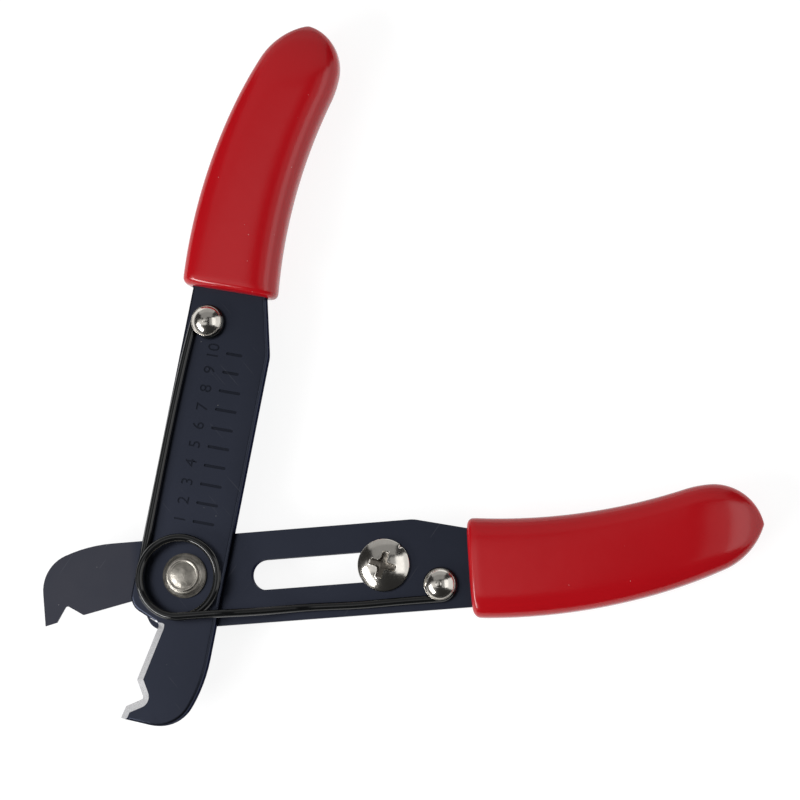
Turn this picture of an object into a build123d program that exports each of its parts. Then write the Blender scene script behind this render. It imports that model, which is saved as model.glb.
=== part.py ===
from build123d import *
from math import atan, cos, pi, radians, sin, tan
import os

# Adjustable wire stripper: two mirrored stamped plates that cross at a pivot,
# a sprung pair of dipped handles, notched jaws and a stop screw that slides
# in the rear handle and limits how far the jaws close.
#
# Millimetres. The pivot axis is Z and z = 0 is the flat back of the pivot
# rivet. The rear handle runs along +X. Plate outlines are written as (u, v):
# u from the pivot towards the handle's end, v from the pivot away from the
# other handle, which is also the side of the cutting edge.

# Stack of plates
plate_thick = 2.0
plate_gap = 0.05
open_angle = 75.35

# Plate outline
outer_edge = 9.1
inner_edge = 6.95
edge_round = 0.6
hub_corner_u = -6.85
hub_corner_round = 3.0
mouth_u = 50.9
taper_step = (9.9, 2.45)
taper_round = 6.0

# Cutting edge: its root at the hub, then the steps out along it to the tip
root = (-9.1, 3.35)
edge_step = (-10.4, 2.05)
notch_step = (-3.0, -1.9)
lip_step = (-1.9, 2.9)
tip_step = (-2.2, 0.5)
root_round = 0.8
notch_round = 0.45

# Back of the jaw: the corner that its nose rounds, as a step from the tip
nose_step = (-0.33, -10.18)
nose_radius = 6.6
back_start_u = -13.5

# Bevel ground along the cutting edge, on the outer face
bevel_wide = 1.5
bevel_land = 0.25
bevel_end_round = 0.9

# Dipped grip. Each side leaves the mouth at a heading and runs in tangent arcs,
# whose radii are lengths and whose turns are degrees
grip_long = 50.55
apex_v = -1.8
apex_round = 3.4
outer_heading = 5.1
outer_radii = (103.9, 87.9)
outer_turns = (-16.3, -9.4)
inner_heading = 7.5
inner_radii = (99.9, 18.9)
inner_turns = (-21.7, 13.4)
grip_thick = 7.6
grip_round = 3.0
mouth_round = 1.2
grip_wall = 1.95
tang_clear = 0.02

# Pivot rivet and the washer under its set head
pivot_shank = 5.0
pivot_clear = 0.05
back_head_dia = 9.6
back_head_thick = 1.6
back_head_chamfer = 0.4
pivot_washer_dia = 7.9
pivot_washer_thick = 0.45
pivot_washer_gap = 0.05
set_head_dia = 7.5
set_head_edge = 0.25
shoulder_dia = 6.1
shoulder_high = 1.1
set_head_top_dia = 5.7
set_head_high = 1.75
set_head_rim = 0.3
set_head_dish = 0.2

# Spring rivets, one in each handle
rivet_to_mouth = 5.8
rivet_shank = 3.2
rivet_tail_dia = 4.3
rivet_tail_deep = 0.6
rivet_head_dia = 5.5
rivet_head_high = 1.45
rivet_head_rim = 0.3
rivet_head_ring = 0.22
rivet_head_gap = 0.1
rivet_nib_dia = 0.9
rivet_nib_high = 0.12

# Torsion spring: a hook on each spring rivet and a coil between the legs
wire_dia = 1.4
wire_clear = 0.08
coil_radius = 6.9
coil_gap = 0.1
leg_offset = 0.38
coil_lead = 6.0
hook_wrap = 280.0
lead_bend = 40.0
leg_drop_u = 7.5
leg_land_u = 21.0
leg_bend = 12.0

# Slot in the rear plate and the stop that slides in it
slot_v = 0.73
slot_clear = 0.2
slot_inner_u = 14.1
stop_to_rivet = 9.8
stop_end_gap = 0.2
stop_face_gap = 0.05
screw_dia = 4.95
screw_head_dia = 9.25
screw_head_rim = 0.7
screw_head_high = 2.35
screw_end = 0.3
screw_chamfer = 0.4
recess_long = 5.1
recess_wide = 1.3
recess_corner_round = 0.4
recess_deep = 1.6
recess_taper = 10.0
recess_turn = -14.0
lock_washer_dia = 9.6
lock_washer_thick = 0.6
lock_washer_clear = 0.08
nut_flats = 8.0
nut_thick = 2.7
nut_clear = 0.05
nut_corner_cut = 0.35

# Wire size scale stamped in the front plate
tick_count = 10
tick_pitch = 3.38
tick_first_u = 9.7
tick_outer_v = 0.6
tick_long = 4.0
tick_short = 3.0
short_tick_count = 2
tick_wide = 0.5
tick_deep = 0.2

# Levels of the stack, from the back
rear_back = back_head_thick
mating = rear_back + plate_thick
front_back = mating + plate_gap
front_face = front_back + plate_thick


def step(point, by):
    """The point that lies one step further on."""
    return (point[0] + by[0], point[1] + by[1])


# Corners of the plate's outline
tooth = step(root, edge_step)
notch = step(tooth, notch_step)
tip_inner = step(notch, lip_step)
tip = step(tip_inner, tip_step)
nose_corner = step(tip, nose_step)
hub_corner = (hub_corner_u, outer_edge)
mouth_outer = (mouth_u, outer_edge)
kink = (mouth_u - taper_step[0], -inner_edge)
mouth_inner = step(kink, taper_step)

# The wire leaves each coil end just outside its tangent, and hooks a rivet there
wire_r = wire_dia / 2
hook_radius = rivet_shank / 2 + wire_clear + wire_r
leg_v = coil_radius + leg_offset
rivet_u = mouth_u - rivet_to_mouth
rivet_v = leg_v - hook_radius

# The stop at its outermost place, clear of the spring rivet
stop_u = rivet_u - stop_to_rivet
slot_outer_u = stop_u + stop_end_gap
slot_wide = screw_dia + 2 * slot_clear

# Each plate is drawn with its mating face at z = 0 and its outer face above
front_place = Pos(0, 0, front_back) * Rot(0, 0, open_angle)
rear_place = Pos(0, 0, mating) * Rot(180, 0, 0)


def turned(*outline):
    """A solid turned about Z. The outline runs in radius and height."""
    return revolve(Plane.XZ * make_face(Curve() + list(outline)), Axis.Z)


def turned_points(*points):
    """A solid turned about Z from straight runs between (radius, height) points."""
    return turned(Polyline(*points, close=True))


def disc(diameter, height):
    """A cylinder about Z that stands on z = 0."""
    return extrude(Circle(diameter / 2), height)


def round_corner(face, corner, radius):
    """Round the one corner of a face that lies nearest to the given point."""
    spot = Vector(*corner)
    nearest = min(face.vertices(), key=lambda v: (v.center() - spot).length)
    return fillet(nearest, radius)


def grip_side(start, heading, radii, turns, end, inset, inward):
    """Tangent arcs from the mouth, and a last one that meets the end point."""
    direction = (cos(radians(heading)), sin(radians(heading)))
    curves = []
    for radius, turn in zip(radii, turns):
        curve = JernArc(start, direction, radius - inward * inset * turn / abs(turn), turn)
        curves.append(curve)
        start = curve @ 1
        direction = curve % 1
    return curves + [TangentArc(start, end, tangent=direction)]


def grip_outline(inset=0.0):
    """The grip's outline, or one that lies inset within it, from mouth to apex."""
    spare = grip_wall - inset
    apex = (mouth_u + grip_long - inset, apex_v)
    outer_start = step(mouth_outer, (0, spare))
    inner_start = step(mouth_inner, (0, -spare))
    outer = grip_side(outer_start, outer_heading, outer_radii, outer_turns, apex, inset, -1)
    inner = grip_side(inner_start, inner_heading, inner_radii, inner_turns, apex, inset, 1)
    face = make_face(Curve() + outer + inner + [Line(inner_start, outer_start)])
    return round_corner(face, apex, apex_round)


def blade_face():
    """The plate's outline from the jaw to the mouth of the grip."""
    back = TangentArc((back_start_u, -inner_edge), nose_corner, tangent=(-1, 0))
    jaw = [nose_corner, tip, tip_inner, notch, tooth, root]
    handle = [hub_corner, mouth_outer, mouth_inner, kink, back @ 0]
    face = make_face(Curve() + [back, Polyline(*jaw, *handle)])
    face = round_corner(face, nose_corner, nose_radius)
    face = round_corner(face, root, root_round)
    face = round_corner(face, notch, notch_round)
    face = round_corner(face, hub_corner, hub_corner_round)
    return round_corner(face, kink, taper_round)


def is_rounded(edge):
    """Whether stamping rounds this edge: all of the outer face but the cutting edge."""
    middle = edge @ 0.5
    on_outer_face = abs(middle.Z - plate_thick) < 0.001
    on_cutting_edge = tip[0] < middle.X < root[0] + root_round / 2 and middle.Y > 0
    at_mouth = abs(middle.X - mouth_u) < 0.001
    return on_outer_face and not on_cutting_edge and not at_mouth


def bevel_waste():
    """What the grinder takes off: it widens from the land to the outer face."""
    past_tip = step(tip, (3 * tip_step[0], 3 * tip_step[1]))
    top = outer_edge + bevel_wide
    outline = Polyline(
        hub_corner,
        root,
        tooth,
        notch,
        tip_inner,
        past_tip,
        (past_tip[0], top),
        (hub_corner_u, top),
        close=True,
    )
    face = round_corner(make_face(outline), root, root_round)
    face = round_corner(face, notch, notch_round)
    depth = plate_thick - bevel_land
    slope = Vector(depth, bevel_wide).get_angle(Vector(1, 0))
    waste = Pos(0, 0, bevel_land) * extrude(face, depth, taper=-slope)
    return waste & bevel_limit()


def bevel_limit():
    """The grinder's reach: its rounded end stops at the jaw's root."""
    low = root[1] - bevel_wide - root_round / 4
    far = root[0] + root_round / 4
    corner = (far, low)
    long = 3 * abs(tip[0])
    face = Pos(far - long / 2, low + long / 2) * Rectangle(long, long)
    return extrude(round_corner(face, corner, bevel_end_round), plate_thick)


def blank_plate():
    """One stamped and ground plate with its pivot hole, as both handles use it."""
    blade = extrude(blade_face(), plate_thick)
    blade = fillet([edge for edge in blade.edges() if is_rounded(edge)], edge_round)
    solid = blade - bevel_waste() + extrude(grip_outline(grip_wall), plate_thick)
    return solid - disc(pivot_shank + 2 * pivot_clear, plate_thick)


def rivet_body():
    """A spring rivet's shank in its plate and its spread tail, below z = 0."""
    shank = rivet_shank / 2
    tail = rivet_tail_dia / 2
    return turned_points(
        (0, 0),
        (shank, 0),
        (shank, rivet_tail_deep - plate_thick),
        (tail, -plate_thick),
        (0, -plate_thick),
    )


def tick_marks():
    """The scale's stamped marks. The ones nearest the grip are shorter."""
    marks = []
    for number in range(tick_count):
        short = number >= tick_count - short_tick_count
        length = tick_short if short else tick_long
        place = Pos(tick_first_u + number * tick_pitch, tick_outer_v - length / 2)
        marks.append(place * SlotOverall(length, tick_wide, rotation=90))
    return extrude(Sketch() + marks, -tick_deep)


def front_plate():
    """The front handle's plate, with the scale stamped in its outer face."""
    hole = Pos(rivet_u, rivet_v, plate_thick) * rivet_body()
    plate = blank_plate() - hole - Pos(0, 0, plate_thick) * tick_marks()
    return front_place * plate


def rear_plate():
    """The rear handle's plate: the front one turned over, with the slot."""
    hole = Pos(rivet_u, rivet_v, 0) * Rot(180, 0, 0) * rivet_body()
    slot_centre = Pos((slot_inner_u + slot_outer_u) / 2, slot_v)
    slot = SlotCenterToCenter(slot_outer_u - slot_inner_u, slot_wide)
    return rear_place * (blank_plate() - hole - extrude(slot_centre * slot, plate_thick))


def grip():
    """One dipped grip about the tang, with full sides and a crisper mouth."""
    solid = extrude(grip_outline(), grip_thick / 2, both=True)
    faces = [solid.faces().sort_by(Axis.Z)[0], solid.faces().sort_by(Axis.Z)[-1]]
    rims = [e for f in faces for e in f.edges() if (e @ 0.5).X > mouth_u + 0.01]
    solid = fillet(rims, grip_round)
    mouth = solid.faces().sort_by(Axis.X)[0]
    solid = fillet(mouth.edges(), mouth_round)
    inset = grip_wall - tang_clear
    pocket = extrude(grip_outline(inset), plate_thick / 2 + tang_clear, both=True)
    return Pos(0, 0, plate_thick / 2) * (solid - pocket)


def pivot_rivet():
    """The flat back head, the shank through both plates and the set front head."""
    back = back_head_dia / 2
    shank = pivot_shank / 2
    base = set_head_dia / 2
    top = set_head_top_dia / 2
    low = front_face + pivot_washer_gap + pivot_washer_thick
    high = low + set_head_high
    sides = Polyline(
        (0, high),
        (0, 0),
        (back - back_head_chamfer, 0),
        (back, back_head_chamfer),
        (back, rear_back),
        (shank, rear_back),
        (shank, low),
        (base, low),
        (base, low + set_head_edge),
        (shoulder_dia / 2, low + shoulder_high),
        (top, high - set_head_dish),
        (top - set_head_dish, high),
        (top - set_head_rim, high),
        (top - set_head_rim - set_head_dish, high - set_head_dish),
    )
    dome = TangentArc((0, high), sides @ 1, tangent=(1, 0))
    return turned(sides, dome)


def pivot_washer():
    """The washer between the front plate and the set head."""
    low = front_face + pivot_washer_gap
    ring = disc(pivot_washer_dia, pivot_washer_thick)
    return Pos(0, 0, low) * (ring - disc(pivot_shank + 2 * pivot_clear, pivot_washer_thick))


def spring_rivet():
    """A spring rivet whose head holds the hook. z = 0 is the plate under it."""
    shank = rivet_shank / 2
    head = rivet_head_dia / 2
    under = wire_clear + wire_dia + rivet_head_gap
    rim = under + rivet_head_rim
    top = under + rivet_head_high
    foot = head - rivet_head_ring
    dome = TangentArc((0, top), (foot, rim), tangent=(1, 0))
    edge = Polyline(
        (foot, rim),
        (head, rim),
        (head, under),
        (shank, under),
        (shank, 0),
        (0, 0),
        (0, top),
    )
    nib = Pos(0, 0, top - rivet_nib_high) * disc(rivet_nib_dia, 2 * rivet_nib_high)
    return turned(dome, edge) + nib + rivet_body()


def return_spring():
    """The torsion spring: hook, leg, coil that rises as it turns, leg and hook."""
    centre = Vector(-leg_offset / tan(radians(open_angle / 2)), -leg_offset)
    low = front_face + wire_clear + wire_r
    land = mating + wire_clear + wire_r
    turn = 540 - open_angle
    coil_pitch = wire_dia + coil_gap
    slope = atan(coil_pitch / (2 * pi * coil_radius))
    start = Pos(centre.X, centre.Y, low + coil_lead * sin(slope)) * Rot(0, 0, open_angle + 90)
    coil = start * Helix(coil_pitch, coil_pitch * turn / 360, coil_radius)
    front = Vector(rivet_u, rivet_v, low).rotate(Axis.Z, open_angle)
    front_hook = CenterArc(front, hook_radius, open_angle + 90, -hook_wrap)
    rear_hook = CenterArc((rivet_u, -rivet_v, land), hook_radius, -90, hook_wrap)
    lead_in = coil @ 0 - (coil % 0) * coil_lead
    lead_out = coil @ 1 + (coil % 1) * (leg_drop_u - centre.X)
    landing = (leg_land_u, -leg_v, land)
    front_leg = FilletPolyline(front_hook @ 0, lead_in, coil @ 0, radius=lead_bend)
    rear_leg = FilletPolyline(coil @ 1, lead_out, landing, rear_hook @ 0, radius=leg_bend)
    curves = [front_hook, front_leg, coil, rear_leg, rear_hook]
    path = Wire([edge for curve in curves for edge in curve.edges()])
    section = Plane(origin=path @ 0, z_dir=path % 0) * Circle(wire_r)
    return sweep(section, path)


def stop_screw():
    """The pan head screw that stops the front plate, with its cross recess."""
    shank = screw_dia / 2
    head = screw_head_dia / 2
    seat = mating + stop_face_gap
    end = rear_back - stop_face_gap - lock_washer_thick - nut_thick - screw_end
    top = seat + screw_head_high
    rim = seat + screw_head_rim
    dome = TangentArc((0, top), (head, rim), tangent=(1, 0))
    edge = Polyline(
        (head, rim),
        (head, seat),
        (shank, seat),
        (shank, end + screw_chamfer),
        (shank - screw_chamfer, end),
        (0, end),
        (0, top),
    )
    return stop_place() * (turned(dome, edge) - Pos(0, 0, top) * cross_recess())


def cross_recess():
    """The driver's recess, below z = 0, with its inner corners rounded."""
    cross = Rectangle(recess_long, recess_wide) + Rectangle(recess_wide, recess_long)
    inner_corners = cross.vertices().sort_by_distance((0, 0))[:4]
    cross = Rot(0, 0, recess_turn) * fillet(inner_corners, recess_corner_round)
    return extrude(cross, -recess_deep, taper=recess_taper)


def stop_place():
    """Where the stop stands: at the slot's outer end, as the tool is kept."""
    return Pos(stop_u, -slot_v, 0)


def stop_lock_washer():
    """The thin washer between the rear plate and the nut."""
    low = rear_back - stop_face_gap - lock_washer_thick
    ring = disc(lock_washer_dia, lock_washer_thick)
    hole = disc(screw_dia + 2 * lock_washer_clear, lock_washer_thick)
    return stop_place() * Pos(0, 0, low) * (ring - hole)


def stop_nut():
    """The thin hexagon nut, with its corners cut on the outer face."""
    low = rear_back - stop_face_gap - lock_washer_thick - nut_thick
    across_corners = nut_flats / cos(radians(30))
    blank = extrude(RegularPolygon(across_corners / 2, 6), nut_thick)
    wide = across_corners / 2
    cone = turned_points(
        (0, 0),
        (nut_flats / 2, 0),
        (wide, nut_corner_cut),
        (wide, nut_thick),
        (0, nut_thick),
    )
    hole = disc(screw_dia + 2 * nut_clear, nut_thick)
    return stop_place() * Pos(0, 0, low) * ((blank & cone) - hole)


def save(name, shape):
    """Write one named piece."""
    export_step(shape, f"parts/{name}.step")


os.makedirs("parts", exist_ok=True)
save("front_plate", front_plate())
save("rear_plate", rear_plate())
save("front_grip", front_place * grip())
save("rear_grip", rear_place * grip())
save("pivot_rivet", pivot_rivet())
save("pivot_washer", pivot_washer())
save("front_spring_rivet", front_place * Pos(rivet_u, rivet_v, plate_thick) * spring_rivet())
save("rear_spring_rivet", Pos(rivet_u, -rivet_v, mating) * spring_rivet())
save("return_spring", return_spring())
save("stop_screw", stop_screw())
save("stop_lock_washer", stop_lock_washer())
save("stop_nut", stop_nut())
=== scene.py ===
from math import atan2, cos, exp, hypot, pi, radians, sin, sqrt, tan

import bmesh
import bpy
from mathutils import Matrix, Vector, noise


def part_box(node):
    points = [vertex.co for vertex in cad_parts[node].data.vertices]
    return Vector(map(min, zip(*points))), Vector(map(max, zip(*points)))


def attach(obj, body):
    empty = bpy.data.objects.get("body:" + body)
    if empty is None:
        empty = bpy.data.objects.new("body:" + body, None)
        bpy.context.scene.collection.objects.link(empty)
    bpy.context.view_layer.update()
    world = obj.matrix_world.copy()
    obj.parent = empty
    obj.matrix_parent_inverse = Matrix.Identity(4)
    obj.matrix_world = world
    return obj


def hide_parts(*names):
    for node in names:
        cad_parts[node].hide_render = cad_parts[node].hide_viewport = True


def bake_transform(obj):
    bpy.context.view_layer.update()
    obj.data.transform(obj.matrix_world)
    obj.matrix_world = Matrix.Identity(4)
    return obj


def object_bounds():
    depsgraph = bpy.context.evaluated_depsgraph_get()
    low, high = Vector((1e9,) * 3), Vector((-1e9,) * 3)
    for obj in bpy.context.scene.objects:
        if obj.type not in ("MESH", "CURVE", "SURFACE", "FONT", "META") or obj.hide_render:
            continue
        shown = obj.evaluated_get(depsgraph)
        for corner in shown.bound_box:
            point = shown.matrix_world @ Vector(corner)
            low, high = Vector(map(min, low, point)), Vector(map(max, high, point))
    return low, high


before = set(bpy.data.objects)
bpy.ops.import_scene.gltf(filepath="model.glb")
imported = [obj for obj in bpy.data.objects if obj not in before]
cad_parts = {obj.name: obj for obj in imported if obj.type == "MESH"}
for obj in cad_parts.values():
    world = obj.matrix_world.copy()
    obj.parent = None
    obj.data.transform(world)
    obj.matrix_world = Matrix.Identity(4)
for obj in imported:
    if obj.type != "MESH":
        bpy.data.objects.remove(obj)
cad_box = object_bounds()

# Sizes below are in millimetres, and become metres where a mesh is made
MM = 0.001

# The rear handle lies along +X and the front one stands at this angle to it.
# Along each handle, u runs from the pivot to the grip and v outwards from it.
open_angle = radians(75.35)
outer_edge = 9.1
mouth_inner_v = -4.5
jaw_start_u = -8.4


def level(node, end):
    """The lowest (0) or highest (1) z of a CAD node."""
    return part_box(node)[end].z / MM


# Levels of the stack
rear_back_z = level("rear_plate", 0)
mating_z = level("rear_plate", 1)
front_face_z = level("front_plate", 1)
plate_thick = mating_z - rear_back_z
floor_z = cad_box[0].z / MM

# Camera, fitted to the photograph
camera_place = (107.201, -35.526, 421.817)
camera_turn = (7.9419, 9.6619, -3.7230)
camera_lens = 109.305
camera_sensor = 36.0

# Return spring
wire_r = 0.7
wire_clear = 0.08
rivet_u = 45.1
rivet_v = 4.9
hook_radius = 2.38
hook_wrap = radians(280)
coil_radius = 6.95
coil_flare = 0.25
coil_pitch = 1.5
coil_centre = (-0.72, -0.3)
coil_lead_rise = 0.2
leg_v = rivet_v + hook_radius
leg_drop = (5.0, 23.0)
front_leg_bulge = 0.45
rear_leg_wave = 0.14
wire_sides = 20
hook_steps = 60
front_leg_steps = 60
coil_steps = 200
flare_steps = 50
rear_leg_steps = 90

# Spring rivets, with z from the plate under the head
rivet_shank_r = 1.6
rivet_tail_r = 2.15
rivet_tail_deep = 0.6
rivet_head_r = 2.75
rivet_ring = 0.15
rivet_rim = 0.3
rivet_under = wire_clear + 2 * wire_r + 0.1
rivet_high = 1.45
rivet_nib_r = 0.45
rivet_nib_high = 0.05
rivet_bevel = 0.05
rivet_tail_z = 0.02 - plate_thick

# The groove round the dome, in steps out from its foot and down from the rim,
# and how far the head's rounded edge runs in and down
rivet_groove = ((0.02, 0.05), (0.07, 0.02))
rivet_edge = (0.08, 0.1)

# Pivot rivet
pivot_shank_r = 2.5
pivot_back_r = 4.8
pivot_chamfer = 0.4
pivot_base_r = 3.75
pivot_step_r = 3.05
pivot_ring_r = 2.8
pivot_crown_r = 2.15
pivot_low_z = level("pivot_washer", 1)
pivot_high_z = level("pivot_rivet", 1)
pivot_ring_z = pivot_high_z - 0.34
pivot_dome_z = pivot_high_z - 0.36
pivot_groove_z = pivot_high_z - 0.46
pivot_step_z = pivot_high_z - 1.15

# Hammer marks on the pivot's head, broad and fine, as (marks per millimetre, depth).
# The ring round the crown takes a share of them.
dents = ((1.3, 0.03), (4.6, 0.016))
dent_crown_r = 2.2
dent_crown_sink = 0.02
dent_ring_share = 0.3
dent_ring_sink = 0.01

# Stop screw
screw_seat_z = mating_z + 0.05
screw_r = 2.475
screw_head_r = 4.625
screw_rim = 0.7
screw_top_z = level("stop_screw", 1)
screw_end_z = level("stop_screw", 0)
screw_pitch = 0.8
screw_thread_deep = 0.22
screw_thread_rows = 8
screw_edge = 0.12
screw_foot = 0.1
screw_neck = 0.25
screw_thread_start = 0.35
screw_end_chamfer = 0.4
screw_dome_r = screw_head_r - screw_edge
screw_dome_low = screw_seat_z + screw_rim + screw_edge

# The screw's cross recess, with its sloping floor, its walls and their worn lips
recess_half_long = 2.45
recess_half_wide = 0.54
recess_round = 0.3
recess_fillet = 0.75
recess_turn = radians(-21)
recess_deep = 1.35
recess_slope = 0.34
recess_flat_r = 0.45
recess_rough = 0.03
recess_wall_start = -0.14
recess_wall_wide = 0.18
recess_lip_high = 0.025
recess_lip_out = 0.06
recess_lip_wide = 0.07

# The nick in the screw's rim
nick_at = radians(43)
nick_wide = 0.05
nick_start_r = 3.9
nick_fade = 0.6
nick_in = 0.2
nick_down = 0.08

# Grips, in tangent arcs from the mouth to the apex
grip_wall = 1.95
grip_apex = (101.45, -1.8)
outer_heading = 5.1
outer_radii = (103.9, 87.9)
outer_turns = (-16.3, -9.4)
inner_heading = 7.5
inner_radii = (99.9, 18.9)
inner_turns = (-21.7, 13.4)
grip_half_thick = 3.8
arc_steps = 60
grip_stations = 140
grip_crowding = 1.7
grip_sides = 80
grip_squareness = 3.1
grip_tip_long = 13.0
grip_tip_shape = 2.0
grip_start_u = 50.9
front_mouth_shift = 0.3
rear_mouth_shift = -0.5
front_tip_lean = -0.5
rear_tip_lean = 0.5
lip_round = 1.3
lip_steps = 6

# Scale numbers, stamped beside the marks
number_count = 10
number_first_u = 9.7
number_pitch = 3.38
number_v = 2.0
number_size = 3.0
number_deep = 0.12

# The darker and the paler tone of nickel plate
nickel_tones = ((0.58, 0.55, 0.50), (0.72, 0.69, 0.64))

# Lights stand this far from the point that they face, in millimetres
light_distance = 600.0
light_aim = (30, 20, 0)

# The ceiling light fades out in steps to the right and the back
ceiling_left = -930.0
ceiling_front = -172.0
ceiling_edges = ((-75, 130), (-30, 225), (15, 290))
ceiling_step = 15
ceiling_radiance = 0.27

# The floor, its paint, and the share of its glow where it is seen or mirrored
floor_half = 4000.0
floor_gap = 0.02
floor_paint = 0.85
floor_glow = 1.25
floor_glow_share = 0.7

# The world's strength as a light, and the rise over which its horizon pales
world_dim = 0.03
horizon_band = (0.05, 0.12)


def handle_point(u, v, z, front):
    """A point on one handle, in the shared frame."""
    if not front:
        return Vector((u, -v, z))
    c, s = cos(open_angle), sin(open_angle)
    return Vector((u * c - v * s, u * s + v * c, z))


def smooth_step(t):
    """From 0 to 1 with flat ends."""
    t = min(max(t, 0.0), 1.0)
    return t * t * (3 - 2 * t)


# Mesh making


def mark_sharp(mesh, angle):
    """Shade the mesh smooth, but keep edges that turn by more than the angle."""
    work = bmesh.new()
    work.from_mesh(mesh)
    bmesh.ops.recalc_face_normals(work, faces=work.faces)
    for face in work.faces:
        face.smooth = True
    for edge in work.edges:
        if len(edge.link_faces) == 2:
            edge.smooth = edge.calc_face_angle() < angle
    work.to_mesh(mesh)
    work.free()


def linked(name, data):
    """A new object in the scene with this mesh, text, light or camera."""
    piece = bpy.data.objects.new(name, data)
    bpy.context.scene.collection.objects.link(piece)
    return piece


def evaluated_mesh(piece):
    """The object's mesh with its modifiers applied, in the shared frame."""
    bpy.context.view_layer.update()
    graph = bpy.context.evaluated_depsgraph_get()
    mesh = bpy.data.meshes.new_from_object(piece.evaluated_get(graph))
    mesh.transform(piece.matrix_world)
    return mesh


def new_piece(name, points, faces, sharp=radians(32)):
    """A mesh object from points in millimetres."""
    mesh = bpy.data.meshes.new(name)
    mesh.from_pydata([Vector(p) * MM for p in points], [], faces)
    mark_sharp(mesh, sharp)
    return linked(name, mesh)


def ring_faces(rings, count, close_ends=True):
    """Faces between rings of points, each ring with the same count."""
    faces = []
    for r in range(rings - 1):
        for k in range(count):
            a = r * count + k
            b = r * count + (k + 1) % count
            faces.append((a, b, b + count, a + count))
    if close_ends:
        faces.append(tuple(reversed(range(count))))
        faces.append(tuple(range((rings - 1) * count, rings * count)))
    return faces


def tube(name, path, radius, sides):
    """A round wire along a path, with softened ends."""
    points = []
    last = len(path) - 1
    for i, centre in enumerate(path):
        along = (path[min(i + 1, last)] - path[max(i - 1, 0)]).normalized()
        across = along.cross(Vector((0, 0, 1))).normalized()
        up = across.cross(along)
        r = radius * (0.8 if i in (0, last) else 1.0)
        for k in range(sides):
            a = 2 * pi * k / sides
            points.append(centre + across * (r * cos(a)) + up * (r * sin(a)))
    return new_piece(name, points, ring_faces(len(path), sides))


def plain_height(radius, angle, z):
    """The profile's own point."""
    return radius, z


def turned(name, profile, centre, segments=128, shape=plain_height, sharp=radians(32)):
    """A piece turned about Z from (radius, z) points. Its first and last are on the axis.

    The shape may move each point by its radius, angle and z.
    """
    points = []
    rows = profile[1:-1]
    for radius, z in rows:
        for k in range(segments):
            a = 2 * pi * k / segments
            r, height = shape(radius, a, z)
            points.append((centre[0] + r * cos(a), centre[1] + r * sin(a), height))
    faces = ring_faces(len(rows), segments, close_ends=False)
    for end, row in ((profile[0], 0), (profile[-1], len(rows) - 1)):
        height = shape(end[0], 0.0, end[1])[1]
        points.append((centre[0], centre[1], height))
        tip = len(points) - 1
        for k in range(segments):
            faces.append((tip, row * segments + k, row * segments + (k + 1) % segments))
    return new_piece(name, points, faces, sharp)


def dome(radius, low, high, steps):
    """Profile points from a dome's top on the axis out to its edge."""
    rise = high - low
    sphere = (radius * radius + rise * rise) / (2 * rise)
    radii = [radius * k / steps for k in range(steps + 1)]
    return [(r, high - sphere + sqrt(sphere * sphere - r * r)) for r in radii]


def corner(start, middle, end, steps=5):
    """Profile points round a corner, as a smooth bend between two points."""
    points = []
    for k in range(steps + 1):
        t = k / steps
        a, b, c = (1 - t) ** 2, 2 * t * (1 - t), t * t
        points.append(tuple(a * s + b * m + c * e for s, m, e in zip(start, middle, end)))
    return points


# Return spring


def hook_points(front, z):
    """The hook round its rivet, from where it meets the leg to its free end."""
    centre = handle_point(rivet_u, rivet_v, z, front)
    leave = open_angle + pi / 2 if front else -pi / 2
    turn = -hook_wrap if front else hook_wrap
    angles = [leave + turn * k / hook_steps for k in range(hook_steps + 1)]
    return [centre + Vector((hook_radius * cos(a), hook_radius * sin(a), 0)) for a in angles]


def spring_path():
    """The wire's centreline: front hook, leg, rising coil, falling leg, rear hook."""
    low = front_face_z + wire_clear + wire_r
    land = mating_z + wire_clear + wire_r
    start = open_angle + pi / 2
    coil_v = coil_radius + coil_flare + coil_centre[0] * cos(start) + coil_centre[1] * sin(start)
    path = hook_points(True, low)[::-1]
    for k in range(1, front_leg_steps):
        t = k / front_leg_steps
        rise = coil_lead_rise * smooth_step(t * 3 - 2)
        v = leg_v + (coil_v - leg_v) * t + front_leg_bulge * sin(pi * t ** 0.7)
        path.append(handle_point(rivet_u * (1 - t), v, low + rise, True))
    turn = 3 * pi - open_angle
    for k in range(coil_steps + 1):
        a = start + turn * k / coil_steps
        z = low + coil_lead_rise + coil_pitch * turn * k / coil_steps / (2 * pi)
        radius = coil_radius + coil_flare * (1 - smooth_step(k / flare_steps))
        x = coil_centre[0] + radius * cos(a)
        y = coil_centre[1] + radius * sin(a)
        path.append(Vector((x, y, z)))
    top = path[-1].z
    bottom = path[-1].y
    for k in range(1, rear_leg_steps):
        t = k / rear_leg_steps
        x = coil_centre[0] + (rivet_u - coil_centre[0]) * t
        fall = smooth_step((x - leg_drop[0]) / (leg_drop[1] - leg_drop[0]))
        y = bottom + (-leg_v - bottom) * t
        wave = rear_leg_wave * sin(4 * pi * (t - 0.35)) * sin(pi * t) ** 2
        path.append(Vector((x, y + wave, top + (land - top) * fall)))
    return path + hook_points(False, land)


def make_spring():
    """The spring's wire, in place of the CAD spring."""
    piece = tube("spring_wire", spring_path(), wire_r, wire_sides)
    give(piece, spring_finish())
    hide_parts("return_spring")
    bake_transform(piece)


# Rivets


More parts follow.
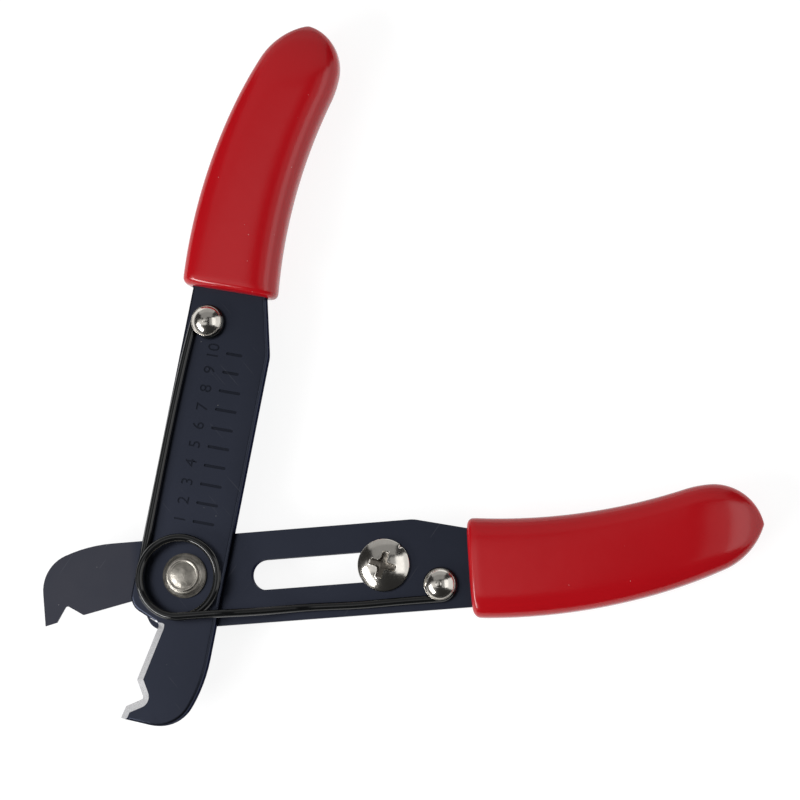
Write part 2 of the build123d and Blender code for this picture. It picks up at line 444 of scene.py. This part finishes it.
def make_spring_rivet(front, finish):
    """A domed rivet with a thin ring round its dome and a nib on top."""
    name = "front_spring_rivet" if front else "rear_spring_rivet"
    seat = front_face_z if front else mating_z
    head, under = rivet_head_r, rivet_under
    rim = under + rivet_rim
    foot = head - rivet_ring
    profile = dome(foot, rim, under + rivet_high, 30)
    profile += [(foot + out, rim - down) for out, down in rivet_groove]
    profile += corner((head - rivet_edge[0], rim), (head, rim), (head, rim - rivet_edge[1]))
    profile += [(head, under + rivet_bevel), (head - rivet_bevel, under)]
    profile += [(rivet_shank_r, under), (rivet_shank_r, rivet_tail_deep - plate_thick)]
    profile += [(rivet_tail_r, rivet_tail_z), (0, rivet_tail_z)]
    profile = [(r, seat + z) for r, z in profile]

    def nibbed(radius, angle, z):
        if z <= seat + rim:
            return radius, z
        lift = rivet_nib_high * (1 - smooth_step((radius / rivet_nib_r - 0.75) * 3))
        return radius, z + lift

    centre = handle_point(rivet_u, rivet_v, 0, front)
    piece = turned(name + "_turned", profile, centre, shape=nibbed)
    finish_off(piece, name, finish, "front_handle" if front else "rear_handle")


def make_pivot_rivet(finish):
    """The pivot's flat back head and its set front head with a hammered crown."""
    low, step = pivot_low_z, pivot_step_z
    groove, ring = pivot_groove_z, pivot_ring_z
    crown, edge, base = pivot_crown_r, pivot_ring_r, pivot_base_r
    # The crown, its groove, the ring round it, the step and the slope down to the washer
    profile = dome(crown, pivot_dome_z, pivot_high_z, 24)
    profile += corner((crown + 0.04, groove + 0.05), (crown + 0.12, groove), (edge - 0.42, groove + 0.02))
    profile += corner((edge - 0.36, groove + 0.05), (edge - 0.3, ring), (edge - 0.2, ring))
    profile += corner((edge - 0.12, ring), (edge, ring), (edge, ring - 0.13))
    profile += corner((edge + 0.02, step + 0.16), (edge + 0.04, step), (pivot_step_r, step))
    profile += corner((pivot_step_r + 0.06, step - 0.03), (base - 0.3, low + 0.25), (base, low + 0.03))
    profile += [(base, low), (pivot_shank_r, low), (pivot_shank_r, rear_back_z)]
    back = pivot_back_r
    profile += [(back - 0.05, rear_back_z), (back, rear_back_z - 0.05), (back, pivot_chamfer)]
    profile += [(back - pivot_chamfer, 0), (0, 0)]

    def hammered(radius, angle, z):
        if z < step:
            return radius, z
        place = Vector((radius * cos(angle), radius * sin(angle), 0))
        dent = sum(deep * noise.noise(place * scale) for scale, deep in dents)
        if radius < dent_crown_r:
            return radius, z + (dent - dent_crown_sink)
        return radius, z + (dent_ring_share * dent - dent_ring_sink)

    piece = turned("pivot_rivet_turned", profile, (0, 0), shape=hammered)
    finish_off(piece, "pivot_rivet", finish, "rear_handle")


def finish_off(piece, node, finish, body):
    """Let the piece stand for a CAD node on its body."""
    give(piece, finish)
    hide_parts(node)
    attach(piece, body)


# Stop screw


def box_distance(x, y, half_x, half_y, rounding):
    """How far a point lies outside a rounded box about the origin."""
    dx = abs(x) - half_x + rounding
    dy = abs(y) - half_y + rounding
    return hypot(max(dx, 0), max(dy, 0)) + min(max(dx, dy), 0) - rounding


def recess_distance(x, y):
    """How far a point lies outside the cross recess, with filled inner corners."""
    c, s = cos(-recess_turn), sin(-recess_turn)
    x, y = x * c - y * s, x * s + y * c
    a = box_distance(x, y, recess_half_long, recess_half_wide, recess_round)
    b = box_distance(x, y, recess_half_wide, recess_half_long, recess_round)
    share = max(recess_fillet - abs(a - b), 0) / recess_fillet
    return min(a, b) - share * share * recess_fillet / 4


def screw_shape(radius, angle, z):
    """Sink the recess, raise its lips, nick the rim and cut the thread."""
    if z > screw_seat_z + screw_rim / 2:
        x, y = radius * cos(angle), radius * sin(angle)
        away = recess_distance(x, y)
        inside = 1 - smooth_step((away - recess_wall_start) / recess_wall_wide)
        floor = screw_top_z - recess_deep + recess_slope * max(radius, recess_flat_r)
        floor += recess_rough * noise.noise(Vector((x, y, 0)) * 2)
        lip = recess_lip_high * exp(-((away - recess_lip_out) / recess_lip_wide) ** 2)
        z = z + lip + (min(floor, z) - z) * inside
        nick = exp(-((angle - nick_at) / nick_wide) ** 2)
        nick *= smooth_step((radius - nick_start_r) / nick_fade)
        return radius - nick_in * nick, z - nick_down * nick
    if z < screw_seat_z - screw_neck and radius > screw_r - screw_thread_deep:
        turn = (z / screw_pitch + angle / (2 * pi)) % 1
        return radius - screw_thread_deep * (1 - abs(2 * turn - 1)), z
    return radius, z


def make_stop_screw():
    """The pan head screw, with a formed cross recess and a real thread."""
    head, edge = screw_head_r, screw_edge
    seat, foot = screw_seat_z, screw_foot
    rim = seat + screw_rim
    profile = dome(screw_dome_r, screw_dome_low, screw_top_z, 60)
    profile += corner((head - edge / 2, rim + edge / 2), (head, rim), (head, rim - edge))
    profile += corner((head, seat + foot), (head, seat), (head - foot, seat), 3)
    profile += [(screw_r, seat), (screw_r, seat - screw_neck)]
    start = seat - screw_thread_start
    end = screw_end_z + screw_end_chamfer
    rows = int((start - end) / screw_pitch * screw_thread_rows)
    profile += [(screw_r, start + (end - start) * k / rows) for k in range(rows + 1)]
    profile += [(screw_r - screw_end_chamfer, screw_end_z), (0, screw_end_z)]
    low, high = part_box("stop_screw")
    centre = ((low.x + high.x) / 2 / MM, (low.y + high.y) / 2 / MM)
    piece = turned("stop_screw_formed", profile, centre, segments=192, shape=screw_shape)
    finish_off(piece, "stop_screw", screw_finish(centre), "stop_head")


# Grips


def arc_points(start, heading, radius, turn, count):
    """Points along an arc, and the heading at its end."""
    side = 1 if turn > 0 else -1
    cx = start[0] - side * radius * sin(heading)
    cy = start[1] + side * radius * cos(heading)
    points = []
    for k in range(count + 1):
        a = heading + turn * k / count
        points.append((cx + side * radius * sin(a), cy - side * radius * cos(a)))
    return points, heading + turn


def grip_side(start, heading, radii, turns, end):
    """One side of the grip's outline as points, closed by an arc that meets the apex."""
    heading = radians(heading)
    points = [start]
    for radius, turn in zip(radii, turns):
        more, heading = arc_points(points[-1], heading, radius, radians(turn), arc_steps)
        points += more[1:]
    dx, dy = end[0] - points[-1][0], end[1] - points[-1][1]
    half = atan2(dy, dx) - heading
    last_radius = hypot(dx, dy) / (2 * abs(sin(half)))
    more, heading = arc_points(points[-1], heading, last_radius, 2 * half, arc_steps)
    return points + more[1:]


def resample(points, count):
    """Points along the side, closer together near the end."""
    lengths = [0.0]
    for a, b in zip(points, points[1:]):
        lengths.append(lengths[-1] + hypot(b[0] - a[0], b[1] - a[1]))
    out = []
    i = 0
    for k in range(count + 1):
        want = lengths[-1] * (1 - (1 - k / count) ** grip_crowding)
        while i < len(points) - 2 and lengths[i + 1] < want:
            i += 1
        f = (want - lengths[i]) / (lengths[i + 1] - lengths[i])
        a, b = points[i], points[i + 1]
        out.append((a[0] + (b[0] - a[0]) * f, a[1] + (b[1] - a[1]) * f))
    return out


def grip_section(outer, inner, half_thick, inset):
    """One ring round the grip: a squarish oval, as (u, v, height) points."""
    mid = ((outer[0] + inner[0]) / 2, (outer[1] + inner[1]) / 2)
    half = (outer[0] - mid[0], outer[1] - mid[1])
    width = hypot(*half)
    shrink = max(width - inset, 0) / width
    tall = max(half_thick - inset, 0.05)
    ring = []
    for k in range(grip_sides):
        c, s = cos(2 * pi * k / grip_sides), sin(2 * pi * k / grip_sides)
        across = abs(c) ** (2 / grip_squareness) * (1 if c > 0 else -1) * shrink
        height = abs(s) ** (2 / grip_squareness) * (1 if s > 0 else -1) * tall
        ring.append((mid[0] + half[0] * across, mid[1] + half[1] * across, height))
    return ring


def lip_point(mouth, heading, back):
    """The point where a side starts, moved along the side's own heading."""
    return mouth[0] + back, mouth[1] + back * tan(radians(heading))


def grip_rings(shift):
    """The grip's rings from the lip at its mouth to its tip."""
    outer_mouth = (grip_start_u, outer_edge + grip_wall)
    inner_mouth = (grip_start_u, mouth_inner_v - grip_wall)
    outer = grip_side(outer_mouth, outer_heading, outer_radii, outer_turns, grip_apex)
    inner = grip_side(inner_mouth, inner_heading, inner_radii, inner_turns, grip_apex)
    outer = resample(outer, grip_stations)
    inner = resample(inner, grip_stations)
    rings = []
    for k in range(lip_steps, 0, -1):
        a = pi / 2 * k / lip_steps
        back = shift + lip_round * (1 - sin(a))
        lip_outer = lip_point(outer_mouth, outer_heading, back)
        lip_inner = lip_point(inner_mouth, inner_heading, back)
        rings.append(grip_section(lip_outer, lip_inner, grip_half_thick, lip_round * (1 - cos(a))))
    for a, b in zip(outer[:-1], inner[:-1]):
        if min(a[0], b[0]) < grip_start_u + shift + lip_round:
            continue
        left = (grip_apex[0] - (a[0] + b[0]) / 2) / grip_tip_long
        past = max(1 - left, 0)
        thin = (1 - min(past, 0.999) ** grip_tip_shape) ** (1 / grip_tip_shape)
        rings.append(grip_section(a, b, grip_half_thick * thin, 0))
    return rings


def make_grip(front):
    """A crowned vinyl grip with a rounded lip at its mouth and a closed tip."""
    node = "front_grip" if front else "rear_grip"
    rings = grip_rings(front_mouth_shift if front else rear_mouth_shift)
    middle = (front_face_z if front else mating_z) - plate_thick / 2
    lean = front_tip_lean if front else rear_tip_lean
    points = []
    for ring in rings:
        for u, v, z in ring:
            along = max(u - grip_start_u, 0) / (grip_apex[0] - grip_start_u)
            points.append(handle_point(u, v + lean * along ** 2, middle + z, front))
    piece = new_piece(node + "_vinyl", points, ring_faces(len(rings), grip_sides), sharp=radians(60))
    finish_off(piece, node, vinyl_finish(node), "front_handle" if front else "rear_handle")


# Scale numbers


def number_cutter():
    """All the scale's numbers as one mesh that dips into the front plate's face."""
    meshes = []
    for k in range(number_count):
        words = bpy.data.curves.new("number", "FONT")
        words.body = str(k + 1)
        words.size = number_size * MM
        words.resolution_u = 3
        words.extrude = number_deep * MM
        words.align_x = "CENTER"
        text = linked("number", words)
        place = handle_point(number_first_u + number_pitch * k, number_v, front_face_z, True) * MM
        text.matrix_world = Matrix.Translation(place) @ Matrix.Rotation(open_angle, 4, "Z")
        meshes.append(evaluated_mesh(text))
        bpy.data.objects.remove(text)
    work = bmesh.new()
    for mesh in meshes:
        work.from_mesh(mesh)
        bpy.data.meshes.remove(mesh)
    bmesh.ops.remove_doubles(work, verts=work.verts, dist=0.0001 * MM)
    joined = bpy.data.meshes.new("numbers")
    work.to_mesh(joined)
    work.free()
    return linked("numbers", joined)


def make_front_plate():
    """The front plate with its scale numbers stamped in."""
    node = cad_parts["front_plate"]
    cutter = number_cutter()
    stamp = node.modifiers.new("stamp", "BOOLEAN")
    stamp.object = cutter
    stamp.operation = "DIFFERENCE"
    stamp.solver = "EXACT"
    mesh = evaluated_mesh(node)
    node.modifiers.remove(stamp)
    bpy.data.objects.remove(cutter)
    mark_sharp(mesh, radians(32))
    piece = linked("front_plate_stamped", mesh)
    finish_off(piece, "front_plate", plate_finish("front_plate_finish", True), "front_handle")


# Materials


class Finish:
    """A short way to build one material's nodes."""

    def __init__(self, name):
        self.material = bpy.data.materials.new(name)
        self.material.use_nodes = True
        self.tree = self.material.node_tree
        self.shader = self.tree.nodes["Principled BSDF"]
        place = self.add("ShaderNodeTexCoord")
        scaled = self.add("ShaderNodeVectorMath", operation="SCALE")
        self.put(scaled, 0, place.outputs["Object"])
        scaled.inputs["Scale"].default_value = 1 / MM
        self.place = scaled.outputs["Vector"]
        self.normal = place.outputs["Normal"]

    def add(self, kind, **settings):
        """A new node with its settings."""
        node = self.tree.nodes.new(kind)
        for key, value in settings.items():
            setattr(node, key, value)
        return node

    def put(self, node, socket, value):
        """Link a socket into an input, or set the input."""
        if isinstance(value, bpy.types.NodeSocket):
            self.tree.links.new(value, node.inputs[socket])
        else:
            node.inputs[socket].default_value = value

    def math(self, operation, a, b=0.0):
        """One math node's output."""
        node = self.add("ShaderNodeMath", operation=operation)
        self.put(node, 0, a)
        self.put(node, 1, b)
        return node.outputs[0]

    def dot(self, vector, direction):
        """How far a vector runs along a direction."""
        node = self.add("ShaderNodeVectorMath", operation="DOT_PRODUCT")
        self.put(node, 0, vector)
        self.put(node, 1, direction)
        return node.outputs["Value"]

    def distance(self, vector, point):
        """How far a place is from a point."""
        node = self.add("ShaderNodeVectorMath", operation="DISTANCE")
        self.put(node, 0, vector)
        self.put(node, 1, point)
        return node.outputs["Value"]

    def stretch(self, scale, angle=0.0):
        """The place turned about Z and scaled by axis, for grain that runs one way."""
        node = self.add("ShaderNodeMapping")
        self.put(node, "Vector", self.place)
        self.put(node, "Rotation", (0, 0, -angle))
        turned_place = self.add("ShaderNodeVectorMath", operation="MULTIPLY")
        self.put(turned_place, 0, node.outputs["Vector"])
        self.put(turned_place, 1, scale)
        return turned_place.outputs["Vector"]

    def cloud(self, scale, detail=2.0, rough=0.5, place=None):
        """Noise from 0 to 1."""
        node = self.add("ShaderNodeTexNoise")
        self.put(node, "Vector", place or self.place)
        self.put(node, "Scale", scale)
        self.put(node, "Detail", detail)
        self.put(node, "Roughness", rough)
        return node.outputs["Fac"]

    def specks(self, scale, size, seed):
        """Sparse round dots: 1 inside a dot. The seed moves the pattern."""
        moved = self.add("ShaderNodeVectorMath", operation="ADD")
        self.put(moved, 0, self.place)
        self.put(moved, 1, (seed, seed * 0.7, seed * 1.3))
        node = self.add("ShaderNodeTexVoronoi")
        self.put(node, "Vector", moved.outputs["Vector"])
        self.put(node, "Scale", scale)
        return self.math("LESS_THAN", node.outputs["Distance"], size)

    def ramp(self, value, low, high, to_low=0.0, to_high=1.0):
        """A value mapped from one range to another and kept within it."""
        node = self.add("ShaderNodeMapRange")
        names = ("Value", "From Min", "From Max", "To Min", "To Max")
        for socket, v in zip(names, (value, low, high, to_low, to_high)):
            self.put(node, socket, v)
        return node.outputs["Result"]

    def blend(self, share, a, b):
        """A colour mixed from two by a share."""
        node = self.add("ShaderNodeMix", data_type="RGBA")
        self.put(node, 0, share)
        for socket, value in ((6, a), (7, b)):
            if isinstance(value, tuple) and len(value) == 3:
                value = (*value, 1.0)
            self.put(node, socket, value)
        return node.outputs[2]

    def mix(self, share, a, b):
        """A number mixed from two by a share."""
        node = self.add("ShaderNodeMix", data_type="FLOAT")
        self.put(node, 0, share)
        self.put(node, 2, a)
        self.put(node, 3, b)
        return node.outputs[0]

    def bump(self, height, depth):
        """A relief of the given depth in millimetres, into the shader."""
        node = self.add("ShaderNodeBump")
        self.put(node, "Height", height)
        node.inputs["Distance"].default_value = depth * MM
        self.put(self.shader, "Normal", node.outputs["Normal"])

    def set(self, **values):
        """Shader inputs by name, with spaces as underscores."""
        for key, value in values.items():
            if isinstance(value, tuple) and len(value) == 3:
                value = (*value, 1.0)
            self.put(self.shader, key.replace("_", " "), value)
        return self.material


def give(piece, material):
    """Make this the piece's only material."""
    piece.data.materials.clear()
    piece.data.materials.append(material)


def plate_finish(name, front):
    """Blue-black oxide on steel, with the bevel of the cutting edge ground bare and painted shade in the
    stamped marks.
    """
    f = Finish(name)
    angle = open_angle if front else 0.0
    along = (cos(angle), sin(angle), 0)
    out = (-sin(angle), cos(angle), 0) if front else (0, -1, 0)
    u = f.dot(f.place, along)
    at_jaw = f.math("LESS_THAN", u, jaw_start_u)
    faces_out = f.ramp(f.dot(f.normal, out), 0.2, 0.3)
    ground = f.math("MULTIPLY", at_jaw, faces_out)
    face = front_face_z if front else mating_z
    # Painted shade: faces sunk below the plate's face, in the stamped numbers and marks, are darkened.
    below = f.ramp(f.dot(f.place, (0, 0, 1)), face - 0.07, face - 0.03, 1, 0)
    sunk_shade = f.math("MULTIPLY", below, f.ramp(f.dot(f.normal, (0, 0, 1)), 0.5, 0.7))
    soft = f.cloud(0.12, 3)
    fine = f.cloud(9.0, 2)
    coat = f.blend(soft, (0.039, 0.0445, 0.064), (0.047, 0.0525, 0.076))
    if not front:
        # The coat is paler at the rear jaw, in soft patches.
        paler_jaw = f.math("MULTIPLY", f.ramp(u, -10.5, -8.5, 1, 0), f.ramp(soft, 0.3, 0.7, 0.7, 1))
        coat = f.blend(paler_jaw, coat, (0.068, 0.070, 0.088))
    scratch = f.ramp(f.cloud(0.9, 1, 0.5, f.stretch((0.12, 5.0, 1.0), angle + 0.9)), 0.73, 0.76)
    coat = f.blend(f.math("MULTIPLY", scratch, 0.2), coat, (0.2, 0.2, 0.22))
    # Painted shade darkens the floors of the stamped marks towards black.
    coat = f.blend(f.math("MULTIPLY", sunk_shade, 0.5), coat, (0.008, 0.009, 0.011))
    grain = f.cloud(1.0, 3, 0.6, f.stretch((2.0, 14.0, 8.0), angle + 1.2))
    steel = f.blend(f.ramp(grain, 0.35, 0.65), (0.50, 0.50, 0.51), (0.88, 0.88, 0.88))
    dust = f.math("MULTIPLY", f.specks(0.35, 0.026, 3.0), 0.5)
    colour = f.blend(dust, f.blend(ground, coat, steel), (0.5, 0.5, 0.48))
    rough = f.math("ADD", f.mix(soft, 0.28, 0.36), f.math("MULTIPLY", fine, 0.06))
    f.bump(f.mix(ground, fine, grain), 0.004)
    return f.set(
        Base_Color=colour,
        Metallic=1.0,
        Roughness=f.mix(ground, rough, 0.4),
        Specular_Tint=(0.25, 0.25, 0.28),
    )


def spring_finish():
    """Glossy black spring wire with faint drawing marks."""
    f = Finish("spring_finish")
    soft = f.cloud(0.5, 3)
    fine = f.cloud(6.0, 2)
    f.bump(fine, 0.0015)
    return f.set(
        Base_Color=f.blend(soft, (0.004, 0.0045, 0.005), (0.009, 0.0095, 0.010)),
        Roughness=f.mix(fine, 0.05, 0.11),
    )


def nickel_finish():
    """Warm nickel plate with fine marks."""
    f = Finish("nickel_finish")
    soft = f.cloud(0.9, 3)
    fine = f.cloud(7.0, 3)
    f.bump(f.math("ADD", soft, f.math("MULTIPLY", fine, 0.4)), 0.004)
    return f.set(
        Base_Color=f.blend(soft, *nickel_tones),
        Metallic=1.0,
        Roughness=f.mix(fine, 0.12, 0.22),
    )


def worn_finish(name, dark, pale):
    """Metal dulled by the setting tool, for the pivot's hammered head and its washer."""
    f = Finish(name)
    soft = f.cloud(0.8, 4, 0.6)
    fine = f.cloud(6.0, 3)
    f.bump(f.math("ADD", soft, f.math("MULTIPLY", fine, 0.5)), 0.008)
    return f.set(
        Base_Color=f.blend(f.ramp(soft, 0.35, 0.65), dark, pale),
        Metallic=1.0,
        Roughness=f.mix(soft, 0.34, 0.46),
    )


def screw_finish(centre):
    """Nickel plate with painted shade down in the cross recess, which is also duller there."""
    f = Finish("screw_finish")
    soft = f.cloud(0.9, 3)
    fine = f.cloud(7.0, 3)
    rise = screw_top_z - screw_dome_low
    ball = (screw_dome_r ** 2 + rise ** 2) / (2 * rise)
    reach = f.distance(f.place, (centre[0], centre[1], screw_top_z - ball))
    # The cross recess, whose colour is darkened as painted shade and whose finish is duller.
    above = f.math("GREATER_THAN", f.dot(f.place, (0, 0, 1)), screw_seat_z + 0.2)
    recess = f.math("MULTIPLY", above, f.ramp(reach, ball - 0.3, ball - 0.12, 1, 0))
    f.bump(f.math("ADD", soft, f.math("MULTIPLY", fine, 0.4)), 0.004)
    bright = f.blend(soft, *nickel_tones)
    # Painted shade: inside the recess the nickel gives way to a dark brown-grey.
    return f.set(
        Base_Color=f.blend(recess, bright, f.blend(soft, (0.13, 0.115, 0.10), (0.22, 0.20, 0.17))),
        Metallic=1.0,
        Roughness=f.mix(recess, f.mix(fine, 0.12, 0.2), 0.42),
    )


def zinc_finish():
    """Duller zinc plate for the hardware at the back."""
    f = Finish("zinc_finish")
    soft = f.cloud(1.5, 3)
    f.bump(soft, 0.006)
    return f.set(
        Base_Color=f.blend(soft, (0.50, 0.50, 0.50), (0.66, 0.66, 0.65)),
        Metallic=1.0,
        Roughness=f.mix(soft, 0.28, 0.42),
    )


def vinyl_finish(node):
    """Glossy red dipped vinyl, with faint ripples and dust."""
    f = Finish(node + "_finish")
    soft = f.cloud(0.06, 3)
    ripple = f.cloud(0.35, 2)
    dust = f.math("MULTIPLY", f.specks(0.45, 0.03, 11.0), 0.6)
    colour = f.blend(soft, (0.50, 0.0045, 0.0090), (0.57, 0.006, 0.012))
    f.bump(ripple, 0.015)
    return f.set(
        Base_Color=f.blend(dust, colour, (0.8, 0.6, 0.6)),
        Roughness=f.mix(f.cloud(5.0, 2), 0.16, 0.22),
    )


# Stage


def floor_finish():
    """Pale paint that keeps shadows, and white where it is seen or mirrored."""
    material = bpy.data.materials.new("floor_finish")
    material.use_nodes = True
    tree = material.node_tree
    tree.nodes.clear()

    def add(kind, links=(), **settings):
        node = tree.nodes.new(kind)
        for key, value in settings.items():
            setattr(node, key, value)
        for socket, source in links:
            tree.links.new(source, node.inputs[socket])
        return node

    paint = add("ShaderNodeBsdfDiffuse")
    paint.inputs["Color"].default_value = (floor_paint, floor_paint, floor_paint, 1)
    glow = add("ShaderNodeEmission")
    glow.inputs["Strength"].default_value = floor_glow
    rays = add("ShaderNodeLightPath").outputs
    seen = rays["Is Camera Ray"]
    for ray in ("Is Glossy Ray", "Is Transmission Ray"):
        seen = add("ShaderNodeMath", [(0, seen), (1, rays[ray])], operation="MAXIMUM").outputs[0]
    share = add("ShaderNodeMath", [(0, seen)], operation="MULTIPLY")
    share.inputs[1].default_value = floor_glow_share
    links = [(0, share.outputs[0]), (1, paint.outputs[0]), (2, glow.outputs[0])]
    mix = add("ShaderNodeMixShader", links)
    clear = add("ShaderNodeBsdfTransparent")
    side = add("ShaderNodeNewGeometry")
    links = [(0, side.outputs["Backfacing"]), (1, mix.outputs[0]), (2, clear.outputs[0])]
    top = add("ShaderNodeMixShader", links)
    add("ShaderNodeOutputMaterial", [("Surface", top.outputs[0])])
    return material


def make_floor():
    """A wide floor just under the tool."""
    size = floor_half
    z = floor_z - floor_gap
    corners = [(-size, -size, z), (size, -size, z), (size, size, z), (-size, size, z)]
    mesh = bpy.data.meshes.new("floor")
    mesh.from_pydata([Vector(p) * MM for p in corners], [], [(0, 1, 2, 3)])
    floor = linked("floor", mesh)
    give(floor, floor_finish())


def make_panel(name, place, aim, wide, tall, radiance):
    """A soft panel light, unseen by the camera, with its size in millimetres."""
    lamp = bpy.data.lights.new(name, "AREA")
    lamp.shape = "RECTANGLE"
    lamp.size = wide * MM
    lamp.size_y = tall * MM
    lamp.energy = radiance * pi * lamp.size * lamp.size_y
    panel = linked(name, lamp)
    panel.location = Vector(place) * MM
    panel.rotation_euler = (Vector(aim) - Vector(place)).to_track_quat("-Z", "Y").to_euler()
    panel.visible_camera = False


def make_side_panel(name, azimuth, zenith, across, along, radiance):
    """A panel that faces the tool, by where it stands and how wide it looks, in degrees."""
    a, z = radians(azimuth), radians(zenith)
    aim = Vector(light_aim)
    place = aim + light_distance * Vector((cos(a) * sin(z), sin(a) * sin(z), cos(z)))
    wide = 2 * light_distance * tan(radians(across / 2))
    tall = 2 * light_distance * tan(radians(along / 2))
    make_panel(name, place, aim, wide, tall, radiance)


def make_lights():
    """The studio of the photograph, as its rivets mirror it."""
    make_side_panel("key_strip", 207, 57, 42, 13, 14.0)
    make_side_panel("window_low", 0, 68, 56, 36, 0.95)
    make_side_panel("window_high", 0, 39, 44, 22, 1.5)
    make_side_panel("window_glow", 0, 20, 40, 16, 0.4)
    make_side_panel("back_low", 95, 74, 70, 32, 0.45)
    make_side_panel("back_high", 95, 42, 60, 32, 0.3)
    for k, (right, back) in enumerate(ceiling_edges):
        x, y = (ceiling_left + right) / 2, (ceiling_front + back) / 2
        wide, deep = right - ceiling_left, back - ceiling_front
        z = light_distance + ceiling_step * k
        make_panel(f"ceiling_panel_{k}", (x, y, z), (x, y, 0), wide, deep, ceiling_radiance)


def make_world():
    """White behind the tool, dim as a light, and pale along the horizon in metal."""
    world = bpy.data.worlds.new("studio")
    bpy.context.scene.world = world
    world.use_nodes = True
    tree = world.node_tree
    background = tree.nodes["Background"]

    def math(operation, a, b):
        node = tree.nodes.new("ShaderNodeMath")
        node.operation = operation
        tree.links.new(a, node.inputs[0])
        tree.links.new(b, node.inputs[1])
        return node.outputs[0]

    def ramp(value, low, high, to_low, to_high):
        node = tree.nodes.new("ShaderNodeMapRange")
        tree.links.new(value, node.inputs["Value"])
        for name, v in (("From Min", low), ("From Max", high), ("To Min", to_low), ("To Max", to_high)):
            node.inputs[name].default_value = v
        return node.outputs[0]

    place = tree.nodes.new("ShaderNodeTexCoord")
    axes = tree.nodes.new("ShaderNodeSeparateXYZ")
    tree.links.new(place.outputs["Generated"], axes.inputs[0])
    seen = tree.nodes.new("ShaderNodeLightPath").outputs
    mirrored = math("MAXIMUM", seen["Is Glossy Ray"], seen["Is Transmission Ray"])
    horizon = math("MULTIPLY", ramp(axes.outputs["Z"], *horizon_band, 1, 0), mirrored)
    white = math("MAXIMUM", seen["Is Camera Ray"], horizon)
    tree.links.new(ramp(white, 0, 1, world_dim, 1), background.inputs["Strength"])
    background.inputs["Color"].default_value = (1, 1, 1, 1)


def make_camera():
    """The photograph's view."""
    camera = bpy.data.cameras.new("camera")
    camera.lens = camera_lens
    camera.sensor_width = camera_sensor
    camera.clip_start = 0.01
    camera.clip_end = 20
    place = linked("camera", camera)
    place.location = Vector(camera_place) * MM
    place.rotation_euler = [radians(a) for a in camera_turn]
    bpy.context.scene.camera = place


def dress_nodes():
    """Finish the CAD nodes that stay as they are."""
    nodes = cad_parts
    zinc = zinc_finish()
    kept = {
        "rear_plate": plate_finish("rear_plate_finish", False),
        "pivot_washer": worn_finish("washer_finish", (0.08, 0.075, 0.065), (0.16, 0.15, 0.135)),
        "stop_nut": zinc,
        "stop_lock_washer": zinc,
    }
    for name, finish in kept.items():
        give(nodes[name], finish)


def main():
    """Dress the frame, light it and set the camera."""
    nickel = nickel_finish()
    dress_nodes()
    make_front_plate()
    make_spring()
    make_spring_rivet(True, nickel)
    make_spring_rivet(False, nickel)
    make_pivot_rivet(worn_finish("crown_finish", (0.36, 0.34, 0.30), (0.52, 0.49, 0.44)))
    make_stop_screw()
    make_grip(True)
    make_grip(False)
    make_floor()
    make_world()
    make_lights()
    make_camera()
    bpy.context.scene.view_settings.view_transform = "Standard"


main()
